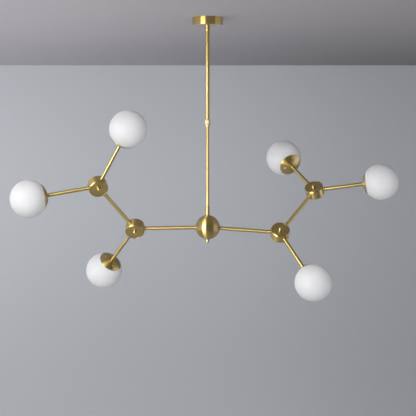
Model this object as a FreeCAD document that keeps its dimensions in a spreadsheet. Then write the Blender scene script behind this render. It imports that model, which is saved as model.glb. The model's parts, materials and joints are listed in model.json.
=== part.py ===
import FreeCAD, Part
import math
import os
import re
import Sketcher
from FreeCAD import Placement, Rotation, Vector

# Branch chandelier: a telescopic stem under a round canopy carries a ball with two arms. Each arm
# ends in a drum joint with one lamp and one branch rod, and each branch rod ends in a second drum
# joint with two lamps. Millimetres, +Z up, origin in the ceiling plane on the stem's axis.

SIZES = {
    # clearances
    "fit": 0.05,
    "play": 0.1,
    # canopy and ceiling bracket
    "canopy_radius": 50.0,
    "canopy_height": 26.0,
    "canopy_wall": 1.2,
    "bracket_width": 22.0,
    "bracket_thickness": 2.0,
    "ear_drop": 15.0,
    "slot_pitch": 60.0,
    "slot_length": 12.0,
    "slot_width": 5.0,
    "tab_width": 20.0,
    "tab_reach": 33.0,
    "side_screw_radius": 2.0,
    "side_screw_drop": 9.0,
    "side_screw_length": 7.0,
    "side_head_radius": 3.2,
    "side_head_height": 1.4,
    "block_length": 30.0,
    "block_width": 16.0,
    "block_height": 13.0,
    "block_pitch": 10.0,
    "wire_hole_radius": 1.8,
    "clamp_hole_radius": 1.6,
    "clamp_hole_depth": 5.0,
    # hollow threaded nipples and their nuts
    "nipple_radius": 5.0,
    "nipple_bore": 3.5,
    "nut_radius": 8.0,
    "nut_thickness": 4.0,
    "washer_radius": 10.0,
    "washer_thickness": 1.0,
    "thread_proud": 1.5,
    # stem
    "ferrule_radius": 9.0,
    "ferrule_foot": 8.6,
    "ferrule_length": 19.0,
    "ferrule_web": 4.0,
    "outer_tube_radius": 7.0,
    "outer_tube_length": 317.0,
    "tube_wall": 1.0,
    "collar_radius": 9.5,
    "collar_length": 18.0,
    "collar_lap": 12.0,
    "collar_wall": 1.1,
    "nose_length": 5.5,
    "nose_radius": 7.5,
    "nose_lip": 1.8,
    "flute_depth": 0.4,
    "flute_width": 1.0,
    "flute_count": 30.0,
    "collet_slit": 1.0,
    "inner_tube_radius": 5.5,
    "inner_tube_length": 366.0,
    "stop_length": 10.0,
    "hub_ferrule_radius": 7.25,
    "hub_ferrule_length": 31.0,
    "hub_ferrule_web": 9.0,
    # hub
    "hub_depth": 687.0,
    "ball_radius": 40.0,
    "ball_wall": 1.2,
    "core_radius": 12.0,
    "core_wall": 3.0,
    "core_plate": 5.0,
    "plug_thickness": 5.0,
    "finial_radius": 6.5,
    "finial_height": 10.0,
    "finial_edge": 1.2,
    "finial_thread": 3.0,
    # arms, rods and their ends
    "rod_radius": 6.0,
    "rod_wall": 1.0,
    "rod_collar_radius": 7.0,
    "rod_collar_length": 5.0,
    "root_nut_radius": 8.0,
    "root_nut_thickness": 2.6,
    "arm_root": 8.0,
    "arm_length": 238.0,
    "branch_length": 220.0,
    "lamp_reach": 224.0,
    # attitude of the branches, in degrees
    "left_droop": 1.0,
    "left_arm_roll": -43.5,
    "left_branch_roll": 17.0,
    "right_droop": 4.2,
    "right_arm_roll": -39.0,
    "right_branch_roll": -19.0,
    # drum joints
    "drum_radius": 31.0,
    "drum_height": 33.0,
    "drum_edge": 3.0,
    "drum_wall": 6.0,
    "cover_radius": 27.0,
    "cover_thickness": 2.0,
    "cover_step": 0.3,
    "tie_radius": 2.5,
    "cap_nut_radius": 6.0,
    "cap_nut_height": 8.0,
    "cap_nut_dome": 2.0,
    # lamps
    "globe_radius": 60.0,
    "globe_wall": 2.5,
    "mouth_radius": 27.0,
    "cup_gap": 0.4,
    "cup_wall": 1.2,
    "cup_angle": 39.0,
    "screw_angle": 22.5,
    "screw_radius": 1.5,
    "screw_length": 3.0,
    "screw_head_radius": 2.4,
    "screw_head_height": 1.5,
    "clip_width": 6.0,
    "clip_thickness": 0.6,
    "clip_gap": 0.25,
    "clip_foot": 3.5,
    "clip_heel": 2.6,
    "clip_finger": 7.0,
    "clip_lead": 2.2,
    "holder_radius": 13.5,
    "holder_length": 38.0,
    "holder_base": 3.0,
    "holder_cavity_radius": 9.0,
    "holder_cavity_height": 9.0,
    "bulb_cap_radius": 7.0,
    "bulb_radius": 22.5,
    "bulb_drop": 30.0,
    "bulb_wall": 1.0,
    "bulb_shoulder": 39.0,
}

# Three rods leave each drum, evenly spaced, so each one turns the line by 180 - 120 degrees.
WAYS = 3
# Round surfaces are turned as short cones: this many rows of them from pole to rim.
GLOBE_ROWS = 10
BALL_ROWS = 6
CUP_ROWS = 4
BULB_ROWS = 5
TURN = math.pi - 2 * math.pi / WAYS
UP = Vector(0, 0, 1)
FAR = Vector(0, 1, 0)

doc = FreeCAD.newDocument("BranchChandelier")
sheet = doc.addObject("Spreadsheet::Sheet", "Sizes")
parts = []


def fill_sheet():
    for row, (alias, value) in enumerate(SIZES.items(), start=1):
        sheet.set("A%d" % row, alias)
        sheet.set("B%d" % row, str(value))
        sheet.setAlias("B%d" % row, alias)
    doc.recompute()


def bound(formula):
    """The formula with each size's name turned into its cell of the sheet."""
    return re.sub(r"[a-z][a-z_]*", lambda m: "Sizes." * (m.group() in SIZES) + m.group(), formula)


def size(formula):
    """The formula's value in millimetres or degrees."""
    return float(sheet.evalExpression(bound(formula)))


# ---------------------------------------------------------------- sketches and features


def new_sketch(body, name, plane):
    sketch = body.newObject("Sketcher::SketchObject", name)
    origin_plane = [item for item in body.Origin.OriginFeatures if item.Role == plane][0]
    sketch.AttachmentSupport = [(origin_plane, "")]
    sketch.MapMode = "FlatFace"
    return sketch


def fix(sketch, kind, item, point, formula):
    """Bind one coordinate of a sketch point, measured from the sketch's origin."""
    if formula == "0":
        axis = -2 if kind == "DistanceX" else -1
        sketch.addConstraint(Sketcher.Constraint("PointOnObject", item, point, axis))
        return
    index = sketch.addConstraint(Sketcher.Constraint(kind, -1, 1, item, point, size(formula)))
    sketch.setExpression("Constraints[%d]" % index, bound(formula))


def zone(radius, start, end, rows, centre="0"):
    """Corners along a circle centred on the vertical axis, between two angles from that axis."""
    corners = []
    for row in range(rows + 1):
        angle = "(%s + (%s - %s) * %d / %d)" % (start, end, start, row, rows)
        height = "%s + (%s) * cos(%s)" % (centre, radius, angle)
        corners.append(("(%s) * sin(%s)" % (radius, angle), height))
    return corners


def outline(body, name, plane, corners):
    """Closed outline through corners given as pairs of formulas."""
    sketch = new_sketch(body, name, plane)
    points = [Vector(size(x), size(y), 0) for x, y in corners]
    count = len(corners)
    for index, point in enumerate(points):
        sketch.addGeometry(Part.LineSegment(point, points[(index + 1) % count]), False)
    for index, (x, y) in enumerate(corners):
        joint = Sketcher.Constraint("Coincident", index, 2, (index + 1) % count, 1)
        sketch.addConstraint(joint)
        fix(sketch, "DistanceX", index, 1, x)
        fix(sketch, "DistanceY", index, 1, y)
    return sketch


def circles(body, name, plane, centres, radius):
    """Sketch of equal circles, with centres given as pairs of formulas."""
    sketch = new_sketch(body, name, plane)
    for index, (x, y) in enumerate(centres):
        centre = Vector(size(x), size(y), 0)
        sketch.addGeometry(Part.Circle(centre, Vector(0, 0, 1), size(radius)), False)
        fix(sketch, "DistanceX", index, 3, x)
        fix(sketch, "DistanceY", index, 3, y)
        constraint = sketch.addConstraint(Sketcher.Constraint("Radius", index, size(radius)))
        sketch.setExpression("Constraints[%d]" % constraint, bound(radius))
    return sketch


def slot(body, name, centre, length, width):
    """Sketch of one slot along X, centred on the X axis."""
    sketch = new_sketch(body, name, "XY_Plane")
    near = "%s - %s / 2 + %s / 2" % (centre, length, width)
    far = "%s + %s / 2 - %s / 2" % (centre, length, width)
    x1, x2, radius = size(near), size(far), size(width) / 2
    quarter = math.pi / 2
    left = Part.Circle(Vector(x1, 0, 0), Vector(0, 0, 1), radius)
    right = Part.Circle(Vector(x2, 0, 0), Vector(0, 0, 1), radius)
    sketch.addGeometry(Part.ArcOfCircle(left, quarter, 3 * quarter), False)
    sketch.addGeometry(Part.LineSegment(Vector(x1, -radius, 0), Vector(x2, -radius, 0)), False)
    sketch.addGeometry(Part.ArcOfCircle(right, -quarter, quarter), False)
    sketch.addGeometry(Part.LineSegment(Vector(x2, radius, 0), Vector(x1, radius, 0)), False)
    for index in range(4):
        sketch.addConstraint(Sketcher.Constraint("Tangent", index, 2, (index + 1) % 4, 1))
    fix(sketch, "DistanceX", 0, 3, near)
    fix(sketch, "DistanceY", 0, 3, "0")
    fix(sketch, "DistanceX", 2, 3, far)
    fix(sketch, "DistanceY", 2, 3, "0")
    constraint = sketch.addConstraint(Sketcher.Constraint("Radius", 0, radius))
    sketch.setExpression("Constraints[%d]" % constraint, bound(width + " / 2"))
    return sketch


def new_body(name):
    return doc.addObject("PartDesign::Body", name)


def revolve(body, sketch, kind="Revolution", axis="V_Axis"):
    feature = body.newObject("PartDesign::" + kind, kind)
    feature.Profile = sketch
    feature.ReferenceAxis = (sketch, [axis])
    feature.Angle = 360
    return feature


def turned(name, corners):
    """A turned piece: the half section of (radius, height) corners, revolved about Z."""
    body = new_body(name)
    revolve(body, outline(body, "Section", "XZ_Plane", corners))
    return body


def pad(body, sketch, length, side="One side", reversed_side=False):
    feature = body.newObject("PartDesign::Pad", "Pad")
    feature.Profile = sketch
    feature.setExpression("Length", bound(length))
    feature.SideType = side
    feature.Reversed = reversed_side
    return feature


def pocket(body, sketch, length=None, side="One side", reversed_side=False):
    """A pocket of the given depth, or through all the material if no length is given."""
    feature = body.newObject("PartDesign::Pocket", "Pocket")
    feature.Profile = sketch
    if length:
        feature.setExpression("Length", bound(length))
    else:
        feature.Type = "ThroughAll"
    feature.SideType = side
    feature.Reversed = reversed_side
    return feature


def around(body, originals, count):
    """The features repeated evenly about the body's Z axis."""
    doc.recompute()
    pattern = body.newObject("PartDesign::PolarPattern", "Around")
    pattern.Originals = originals
    axis = [item for item in body.Origin.OriginFeatures if item.Role == "Z_Axis"][0]
    pattern.Axis = (axis, [""])
    pattern.Angle = 360
    pattern.setExpression("Occurrences", bound(count))
    body.Tip = pattern
    return pattern


def cylinder(radius, start, end, placement):
    """A plain cylinder along the placement's Z axis, from start to end."""
    tool = doc.addObject("Part::Cylinder", "Bore")
    tool.setExpression("Radius", bound(radius))
    tool.setExpression("Height", bound("%s - (%s)" % (end, start)))
    tool.Placement = placement.multiply(Placement(UP * size(start), Rotation()))
    return tool


def cut(name, base, tools):
    fused = doc.addObject("Part::Compound", "Tools")
    fused.Links = tools
    result = doc.addObject("Part::Cut", name)
    result.Base = base
    result.Tool = fused
    return result


def hex_nut(hole):
    """A nut standing on the XY plane."""
    prism = doc.addObject("Part::Prism", "NutBlank")
    prism.Polygon = 6
    prism.setExpression("Circumradius", bound("nut_radius"))
    prism.setExpression("Height", bound("nut_thickness"))
    return cut("Nut", prism, [cylinder(hole, "0", "nut_thickness", Placement())])


def copy_at(piece, placement):
    link = doc.addObject("App::Link", "Copy")
    link.LinkedObject = piece
    link.Placement = placement
    return link


def group(name, pieces):
    """Separate solids that share one node."""
    compound = doc.addObject("Part::Compound", name)
    compound.Links = pieces
    return compound


def finished(piece, placement=None):
    """Set a sub-part in its place and list it for output."""
    if placement is not None:
        piece.Placement = placement
    parts.append(piece)


def at_height(height):
    return Placement(Vector(0, 0, height), Rotation())


def axes_at(origin, z_axis, x_axis):
    """Placement with the given origin, Z axis and X axis."""
    return Placement(origin, Rotation(x_axis, z_axis.cross(x_axis), z_axis, "ZXY"))


# ---------------------------------------------------------------- ceiling fixing


def ceiling_bracket():
    """Steel strap with a tab for the terminal block and two ears bent down for the screws."""
    body = new_body("ceiling_bracket")
    half = "(sqrt((canopy_radius - canopy_wall)^2 - bracket_width^2 / 4) - 3 * play)"
    inner = half + " - bracket_thickness"
    ears = [
        ("-" + half, "0"),
        (half, "0"),
        (half, "-ear_drop"),
        (inner, "-ear_drop"),
        (inner, "-bracket_thickness"),
        ("-(%s)" % inner, "-bracket_thickness"),
        ("-(%s)" % inner, "-ear_drop"),
        ("-" + half, "-ear_drop"),
    ]
    pad(body, outline(body, "Strap", "XZ_Plane", ears), "bracket_width", "Symmetric")
    tab = [
        ("-tab_width / 2", "0"),
        ("tab_width / 2", "0"),
        ("tab_width / 2", "tab_reach"),
        ("-tab_width / 2", "tab_reach"),
    ]
    pad(body, outline(body, "Tab", "XY_Plane", tab), "bracket_thickness", reversed_side=True)
    doc.recompute()
    for centre in ("-slot_pitch / 2", "slot_pitch / 2"):
        pocket(body, slot(body, "Slot", centre, "slot_length", "slot_width"), side="Symmetric")
    holes = circles(body, "EarHoles", "YZ_Plane", [("0", "-side_screw_drop")], "side_screw_radius + fit")
    pocket(body, holes, side="Symmetric")
    finished(body)


def canopy():
    """Open turned cap with the nipple's hole and the two side screws' holes."""
    inner = "canopy_radius - canopy_wall"
    floor = "canopy_wall - canopy_height"
    section = [
        (inner, "0"),
        ("canopy_radius", "0"),
        ("canopy_radius", "-canopy_height"),
        ("nipple_radius + fit", "-canopy_height"),
        ("nipple_radius + fit", floor),
        (inner, floor),
    ]
    body = turned("canopy", section)
    doc.recompute()
    holes = circles(body, "SideHoles", "YZ_Plane", [("0", "-side_screw_drop")], "side_screw_radius + play")
    pocket(body, holes, side="Symmetric")
    finished(body)


def canopy_screws():
    """Two domed screws, one at each side of the canopy."""
    rim = "side_head_height / 2"
    section = [
        ("0", "-side_screw_length"),
        ("side_screw_radius", "-side_screw_length"),
        ("side_screw_radius", "0"),
        ("side_head_radius", "0"),
        ("side_head_radius", rim),
        ("side_head_radius / 2", "side_head_height"),
        ("0", "side_head_height"),
    ]
    screw = turned("CanopyScrew", section)
    drop = -size("side_screw_drop")
    copies = []
    for side in (-1, 1):
        seat = Vector(side * size("canopy_radius"), 0, drop)
        copies.append(copy_at(screw, axes_at(seat, Vector(side, 0, 0), FAR)))
    finished(group("canopy_screws", copies))


def terminal_block():
    """Three-way block, standing on its lower face, with wire holes and clamping screw holes."""
    body = new_body("terminal_block")
    rectangle = [
        ("-block_length / 2", "-block_width / 2"),
        ("block_length / 2", "-block_width / 2"),
        ("block_length / 2", "block_width / 2"),
        ("-block_length / 2", "block_width / 2"),
    ]
    pad(body, outline(body, "Block", "XY_Plane", rectangle), "block_height")
    doc.recompute()
    columns = ("-block_pitch", "0", "block_pitch")
    wires = [(x, "block_height / 2") for x in columns]
    pocket(body, circles(body, "WireHoles", "XZ_Plane", wires, "wire_hole_radius"), side="Symmetric")
    clamps = [(x, y) for x in columns for y in ("-block_width / 4", "block_width / 4")]
    holes = circles(body, "ClampHoles", "XY_Plane", clamps, "clamp_hole_radius")
    pocket(body, holes, "clamp_hole_depth", reversed_side=True)
    seat = Vector(0, size("tab_reach - block_width / 2"), -size("bracket_thickness + block_height"))
    finished(body, Placement(seat, Rotation()))


def stem_nipple():
    """Hollow nipple through the canopy's floor, with its washer and nut."""
    floor = "(canopy_wall - canopy_height)"
    top = floor + " + washer_thickness + nut_thickness + thread_proud"
    nipple_section = [
        ("nipple_bore", top),
        ("nipple_radius", top),
        ("nipple_radius", "-canopy_height - ferrule_web"),
        ("nipple_bore", "-canopy_height - ferrule_web"),
    ]
    washer_section = [
        ("nipple_radius + fit", floor),
        ("washer_radius", floor),
        ("washer_radius", floor + " + washer_thickness"),
        ("nipple_radius + fit", floor + " + washer_thickness"),
    ]
    nipple = turned("Nipple", nipple_section)
    washer = turned("Washer", washer_section)
    nut = hex_nut("nipple_radius + fit")
    nut.Placement = at_height(size(floor + " + washer_thickness"))
    finished(group("stem_nipple", [nipple, washer, nut]))


# ---------------------------------------------------------------- stem


def canopy_ferrule():
    """Sleeve under the canopy: screwed on the nipple above, holding the outer tube below."""
    section = [
        ("nipple_radius + fit", "-canopy_height"),
        ("ferrule_radius", "-canopy_height"),
        ("ferrule_foot", "-canopy_height - ferrule_length"),
        ("outer_tube_radius + fit", "-canopy_height - ferrule_length"),
        ("outer_tube_radius + fit", "-canopy_height - ferrule_web"),
        ("nipple_radius + fit", "-canopy_height - ferrule_web"),
    ]
    finished(turned("canopy_ferrule", section))


def outer_tube():
    """Upper tube of the stem, hanging from the ferrule's web."""
    section = [
        ("outer_tube_radius - tube_wall", "0"),
        ("outer_tube_radius", "0"),
        ("outer_tube_radius", "-outer_tube_length"),
        ("outer_tube_radius - tube_wall", "-outer_tube_length"),
    ]
    finished(turned("outer_tube", section), at_height(-size("canopy_height + ferrule_web")))


def tube_end():
    """Height of the outer tube's lower end."""
    return -size("canopy_height + ferrule_web + outer_tube_length")


def collet_height():
    return "(collar_length + nose_length - collar_lap - nose_lip - play)"


def stem_collet():
    """Tapered split bush between the outer tube's end and the collar's nose."""
    foot = "nose_radius - collar_wall - play"
    section = [
        ("inner_tube_radius + fit", "0"),
        ("outer_tube_radius - play", "0"),
        (foot, "-" + collet_height()),
        ("inner_tube_radius + fit", "-" + collet_height()),
    ]
    body = turned("stem_collet", section)
    doc.recompute()
    slit = [
        ("-collet_slit / 2", "0"),
        ("collet_slit / 2", "0"),
        ("collet_slit / 2", "outer_tube_radius"),
        ("-collet_slit / 2", "outer_tube_radius"),
    ]
    pocket(body, outline(body, "Slit", "XY_Plane", slit))
    finished(body, at_height(tube_end()))


def locking_collar():
    """Fluted twist collar with a tapered nose, standing at the outer tube's end."""
    step = "-(collar_length - collar_lap)"
    lip = step + " - nose_length + nose_lip"
    tip = step + " - nose_length"
    seat = "nose_radius - collar_wall"
    section = [
        ("outer_tube_radius + play", "collar_lap"),
        ("collar_radius - flute_depth", "collar_lap"),
        ("collar_radius", "collar_lap - flute_depth"),
        ("collar_radius", step + " + flute_depth"),
        ("collar_radius - flute_depth", step),
        ("(collar_radius + nose_radius) / 2", step),
        ("nose_radius", tip),
        ("inner_tube_radius + 2 * play", tip),
        ("inner_tube_radius + 2 * play", lip),
        (seat, lip),
        ("outer_tube_radius + play", "-play"),
    ]
    body = turned("locking_collar", section)
    doc.recompute()
    flute = [
        ("-flute_width / 2", "collar_radius + flute_depth"),
        ("0", "collar_radius - flute_depth"),
        ("flute_width / 2", "collar_radius + flute_depth"),
    ]
    sketch = outline(body, "Flute", "XY_Plane", flute)
    feature = pocket(body, sketch, side="Symmetric")
    around(body, [feature], "flute_count")
    finished(body, at_height(tube_end()))


def hub_placement():
    return at_height(-size("hub_depth"))


CORE_TOP = "(sqrt((ball_radius - ball_wall)^2 - core_radius^2) - fit)"
FERRULE_FOOT = "(%s + play)" % CORE_TOP
TUBE_FOOT = "(%s + hub_ferrule_web)" % FERRULE_FOOT


def inner_tube():
    """Lower tube of the stem, with a swaged stop that runs in the outer tube."""
    top = TUBE_FOOT + " + inner_tube_length"
    stop = top + " - stop_length"
    section = [
        ("inner_tube_radius - tube_wall", TUBE_FOOT),
        ("inner_tube_radius", TUBE_FOOT),
        ("inner_tube_radius", stop),
        ("outer_tube_radius - tube_wall - play", stop),
        ("outer_tube_radius - tube_wall - play", top),
        ("inner_tube_radius - tube_wall", top),
    ]
    finished(turned("inner_tube", section), hub_placement())


def hub_ferrule():
    """Sleeve on the ball: it holds the inner tube above and the swivel nipple below."""
    top = FERRULE_FOOT + " + hub_ferrule_length"
    section = [
        ("inner_tube_radius + fit", top),
        ("hub_ferrule_radius", top),
        ("hub_ferrule_radius", FERRULE_FOOT),
        ("nipple_radius + fit", FERRULE_FOOT),
        ("nipple_radius + fit", TUBE_FOOT),
        ("inner_tube_radius + fit", TUBE_FOOT),
    ]
    finished(turned("hub_ferrule", section), hub_placement())


def swivel_nipple():
    """Hollow nipple in the ferrule, with the nut on which the hub hangs and turns."""
    nut_foot = CORE_TOP + " - core_plate - play - nut_thickness"
    section = [
        ("nipple_bore", TUBE_FOOT),
        ("nipple_radius", TUBE_FOOT),
        ("nipple_radius", nut_foot + " - thread_proud"),
        ("nipple_bore", nut_foot + " - thread_proud"),
    ]
    nipple = turned("SwivelNipple", section)
    nut = hex_nut("nipple_radius + fit")
    nut.Placement = at_height(size(nut_foot))
    finished(group("swivel_nipple", [nipple, nut]), hub_placement())


# ---------------------------------------------------------------- hub


def arm_direction(side):
    """Unit vector along an arm, out of the ball; the arms droop a little from level."""
    droop = math.radians(size(side + "_droop"))
    outward = -1 if side == "left" else 1
    return Vector(outward * math.cos(droop), 0, -math.sin(droop))


def arm_bores(radius):
    """Cutters along both arms, in the hub's own frame."""
    tools = []
    for side in ("left", "right"):
        placement = axes_at(Vector(), arm_direction(side), FAR)
        tools.append(cylinder(radius, "0", "2 * ball_radius", placement))
    return tools


def hub_ball():
    """Two half shells that meet at the equator and close round the arms."""
    inner = "((ball_radius - ball_wall) / cos(45deg / %d))" % BALL_ROWS
    for name, pole, hole in (
        ("hub_ball_upper", "%s", "hub_ferrule_radius + play"),
        ("hub_ball_lower", "(180deg - %s)", "finial_thread + fit"),
    ):
        start = pole % ("asin((%s) / ball_radius)" % hole)
        end = pole % ("asin((%s) / %s)" % (hole, inner))
        section = zone("ball_radius", start, "90deg", BALL_ROWS)[:-1]
        section += [("ball_radius", "0"), (inner, "0")]
        section += zone(inner, "90deg", end, BALL_ROWS)[1:]
        shell = turned("Half" + name, section)
        finished(cut(name, shell, arm_bores("rod_radius + fit")), hub_placement())


def hub_core():
    """Hollow carrier inscribed in the ball: the arms screw into its wall."""
    bore = "core_radius - core_wall"
    section = [
        ("nipple_radius + play", CORE_TOP),
        ("core_radius", CORE_TOP),
        ("core_radius", "-" + CORE_TOP),
        (bore, "-" + CORE_TOP),
        (bore, CORE_TOP + " - core_plate"),
        ("nipple_radius + play", CORE_TOP + " - core_plate"),
    ]
    blank = turned("CoreBlank", section)
    finished(cut("hub_core", blank, arm_bores("rod_radius + fit")), hub_placement())


def hub_plug():
    """Disc screwed into the carrier's lower end, threaded for the finial."""
    top = "plug_thickness - " + CORE_TOP
    section = [
        ("finial_thread + fit", "-" + CORE_TOP),
        ("core_radius - core_wall - fit", "-" + CORE_TOP),
        ("core_radius - core_wall - fit", top),
        ("finial_thread + fit", top),
    ]
    finished(turned("hub_plug", section), hub_placement())


def finial():
    """Knob under the ball with the stud that clamps the lower half."""
    tip = "plug_thickness + thread_proud - " + CORE_TOP
    foot = "-ball_radius - finial_height"
    section = [
        ("0", tip),
        ("finial_thread", tip),
        ("finial_thread", "-ball_radius"),
        ("finial_radius", "-ball_radius"),
        ("finial_radius", foot + " + finial_edge"),
        ("finial_radius - finial_edge", foot),
        ("0", foot),
    ]
    finished(turned("finial", section), hub_placement())


# ---------------------------------------------------------------- arms and rods

ROOT_NUT = "(sqrt((drum_radius - drum_wall)^2 - root_nut_radius^2) - play)"


def drum_end(start, sign):
    """Corners of a rod's end in a drum, from the nut inside it to the plain tube. The drum's
    centre is at start, and sign tells whether the rod leaves it upwards or downwards."""
    stations = [
        ("rod_radius - rod_wall", ROOT_NUT + " - root_nut_thickness"),
        ("root_nut_radius", ROOT_NUT + " - root_nut_thickness"),
        ("root_nut_radius", ROOT_NUT),
        ("rod_radius", ROOT_NUT),
        ("rod_radius", "drum_radius + play"),
        ("rod_collar_radius", "drum_radius + play"),
        ("rod_collar_radius", "drum_radius + play + rod_collar_length"),
        ("rod_radius", "drum_radius + play + rod_collar_length"),
    ]
    return [(radius, "%s %s (%s)" % (start, sign, height)) for radius, height in stations]


def arm(side, placement):
    """Tube from the hub's carrier to the inner drum, which turns on it."""
    section = [
        ("rod_radius - rod_wall", "arm_root"),
        ("rod_radius", "arm_root"),
    ]
    section += drum_end("arm_length", "-")[::-1]
    finished(turned(side + "_arm", section), placement)


def branch_rod(side, placement):
    """Tube from an inner drum to an outer drum, with the same end at both."""
    section = drum_end("0", "+") + drum_end("branch_length", "-")[::-1]
    finished(turned(side + "_branch_rod", section), placement)


# ---------------------------------------------------------------- drum joints


def drum(name, placement):
    """Ring with three radial bores, two turned covers let into it, and a stud with cap nuts."""
    half = "drum_height / 2"
    ledge = "(drum_height / 2 - cover_thickness - cover_step)"
    bore = "drum_radius - drum_wall"
    ease = "drum_edge * (1 - cos(45deg))"
    section = []
    for sign in ("-", ""):
        end = [
            (bore, sign + ledge),
            ("cover_radius + fit", sign + ledge),
            ("cover_radius + fit", sign + half),
            ("drum_radius - drum_edge", sign + half),
            ("drum_radius - " + ease, "%s(%s - %s)" % (sign, half, ease)),
            ("drum_radius", "%s(%s - drum_edge)" % (sign, half)),
        ]
        section += end if sign else end[::-1]
    body = turned(name + "_drum_body", section)
    doc.recompute()
    bores = circles(body, "RodBore", "YZ_Plane", [("0", "0")], "rod_radius + fit")
    feature = pocket(body, bores, reversed_side=True)
    around(body, [feature], str(WAYS))
    finished(body, placement)

    disc = [
        ("tie_radius + fit", "0"),
        ("cover_radius", "0"),
        ("cover_radius", "cover_thickness"),
        ("tie_radius + fit", "cover_thickness"),
    ]
    cover = turned("Cover", disc)
    seat = size(ledge)
    faces = (Rotation(), Rotation(Vector(1, 0, 0), 180))
    covers = [copy_at(cover, Placement(face.multVec(UP * seat), face)) for face in faces]
    finished(group(name + "_drum_covers", covers), placement)

    shoulder = "(drum_height / 2 - cover_step)"
    tip = shoulder + " + cap_nut_height - cap_nut_dome - tie_radius / 2"
    stud = turned("Stud", [("0", "-(%s)" % tip), ("tie_radius", "-(%s)" % tip), ("tie_radius", tip), ("0", tip)])
    nut_section = [
        ("tie_radius + fit", shoulder),
        ("cap_nut_radius", shoulder),
        ("cap_nut_radius", shoulder + " + cap_nut_height - cap_nut_dome"),
        ("cap_nut_radius / 2", shoulder + " + cap_nut_height"),
        ("0", shoulder + " + cap_nut_height"),
        ("0", tip + " + fit"),
        ("tie_radius + fit", tip + " + fit"),
    ]
    nut = turned("CapNut", nut_section)
    nuts = [copy_at(nut, Placement(Vector(), face)) for face in faces]
    finished(group(name + "_drum_tie", [stud] + nuts), placement)


# ---------------------------------------------------------------- lamps

CUP_INNER = "(globe_radius + cup_gap)"
CUP_OUTER = "(globe_radius + cup_gap + cup_wall)"
CUP_RIM = "(cup_angle * 1deg)"
HOLDER_TOP = "(sqrt(%s^2 - holder_radius^2) - fit)" % CUP_INNER
SPIGOT_TIP = "(%s - holder_base - nut_thickness - thread_proud)" % HOLDER_TOP


def on_screw_axis(distance, offset):
    """Point at a distance from the globe's centre along a clip screw's axis, and off to the side
    away from the lamp's axis, as a pair of formulas."""
    x = "(%s) * sin(screw_angle) + (%s) * cos(screw_angle)" % (distance, offset)
    z = "(%s) * cos(screw_angle) - (%s) * sin(screw_angle)" % (distance, offset)
    return x, z


def tilted_section(body, name, corners):
    """Half section beside a clip screw's axis, with that axis as a construction line."""
    sketch = outline(body, name, "XZ_Plane", [on_screw_axis(d, e) for d, e in corners])
    count = len(corners)
    x, z = on_screw_axis("globe_radius", "0")
    line = Part.LineSegment(Vector(), Vector(size(x), size(z), 0))
    sketch.addGeometry(line, True)
    sketch.addConstraint(Sketcher.Constraint("Coincident", count, 1, -1, 1))
    fix(sketch, "DistanceX", count, 2, x)
    fix(sketch, "DistanceY", count, 2, z)
    return sketch


def screw_bore(body):
    """Groove one screw's clearance hole along its tilted axis."""
    bore = [
        ("globe_radius - 2 * screw_length", "0"),
        (CUP_OUTER + " + 1", "0"),
        (CUP_OUTER + " + 1", "screw_radius + fit"),
        ("globe_radius - 2 * screw_length", "screw_radius + fit"),
    ]
    return revolve(body, tilted_section(body, "ScrewBore", bore), "Groove", "Axis0")


def lamp_rod():
    """Tube from a drum to a cup, ending in the spigot that holds cup and lampholder."""
    seat = "(lamp_reach - %s)" % CUP_OUTER
    tip = "lamp_reach - " + SPIGOT_TIP
    section = drum_end("0", "+")
    section += [
        ("rod_radius", seat),
        ("nipple_radius", seat),
        ("nipple_radius", tip),
        ("nipple_bore", tip),
        ("nipple_bore", seat + " - 2 * nipple_radius"),
        ("rod_radius - rod_wall", seat + " - 2 * nipple_radius"),
    ]
    return turned("LampRod", section)


def cup():
    """Spherical cap, concentric with the globe, with the spigot's and the screws' holes."""
    hole = "asin((nipple_radius + fit) / %s)"
    inner = "%s / cos(cup_angle / 2 / %d)" % (CUP_INNER, CUP_ROWS)
    section = zone(CUP_OUTER, hole % CUP_OUTER, CUP_RIM, CUP_ROWS)
    section += zone(inner, CUP_RIM, hole % ("(%s)" % inner), CUP_ROWS)
    body = turned("Cup", section)
    doc.recompute()
    around(body, [screw_bore(body)], str(WAYS))
    return body


def clip_springs():
    """Three leaf springs: a foot under the cup and a finger that presses the globe's mouth."""
    body = new_body("ClipSprings")
    top = "(sqrt(%s^2 - clip_foot^2 - clip_width^2 / 4) - fit)" % CUP_INNER
    reach = "(sqrt((mouth_radius - clip_gap)^2 - clip_width^2 / 4))"
    knee = "(sqrt((globe_radius - globe_wall)^2 - mouth_radius^2) + globe_wall / 3)"
    strip = [
        on_screw_axis(top, "-clip_foot"),
        on_screw_axis(top, "clip_heel"),
        (reach, knee),
        (reach + " - clip_lead", knee + " - clip_finger"),
        (reach + " - clip_lead - clip_thickness", knee + " - clip_finger"),
        (reach + " - clip_thickness", knee),
        on_screw_axis(top + " - clip_thickness", "clip_heel - clip_thickness"),
        on_screw_axis(top + " - clip_thickness", "-clip_foot"),
    ]
    leaf = pad(body, outline(body, "Leaf", "XZ_Plane", strip), "clip_width", "Symmetric")
    doc.recompute()
    around(body, [leaf, screw_bore(body)], str(WAYS))
    return body


def clip_screws():
    """Three domed screws, each square to the cup's surface."""
    body = new_body("ClipScrews")
    head = CUP_OUTER + " + screw_head_height"
    section = [
        (CUP_OUTER + " - screw_length", "0"),
        (CUP_OUTER + " - screw_length", "screw_radius"),
        (CUP_OUTER, "screw_radius"),
        (CUP_OUTER, "screw_head_radius"),
        (CUP_OUTER + " + screw_head_height / 2", "screw_head_radius"),
        (head, "screw_head_radius / 2"),
        (head, "0"),
    ]
    screw = revolve(body, tilted_section(body, "Screw", section), axis="Axis0")
    around(body, [screw], str(WAYS))
    return body


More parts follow.
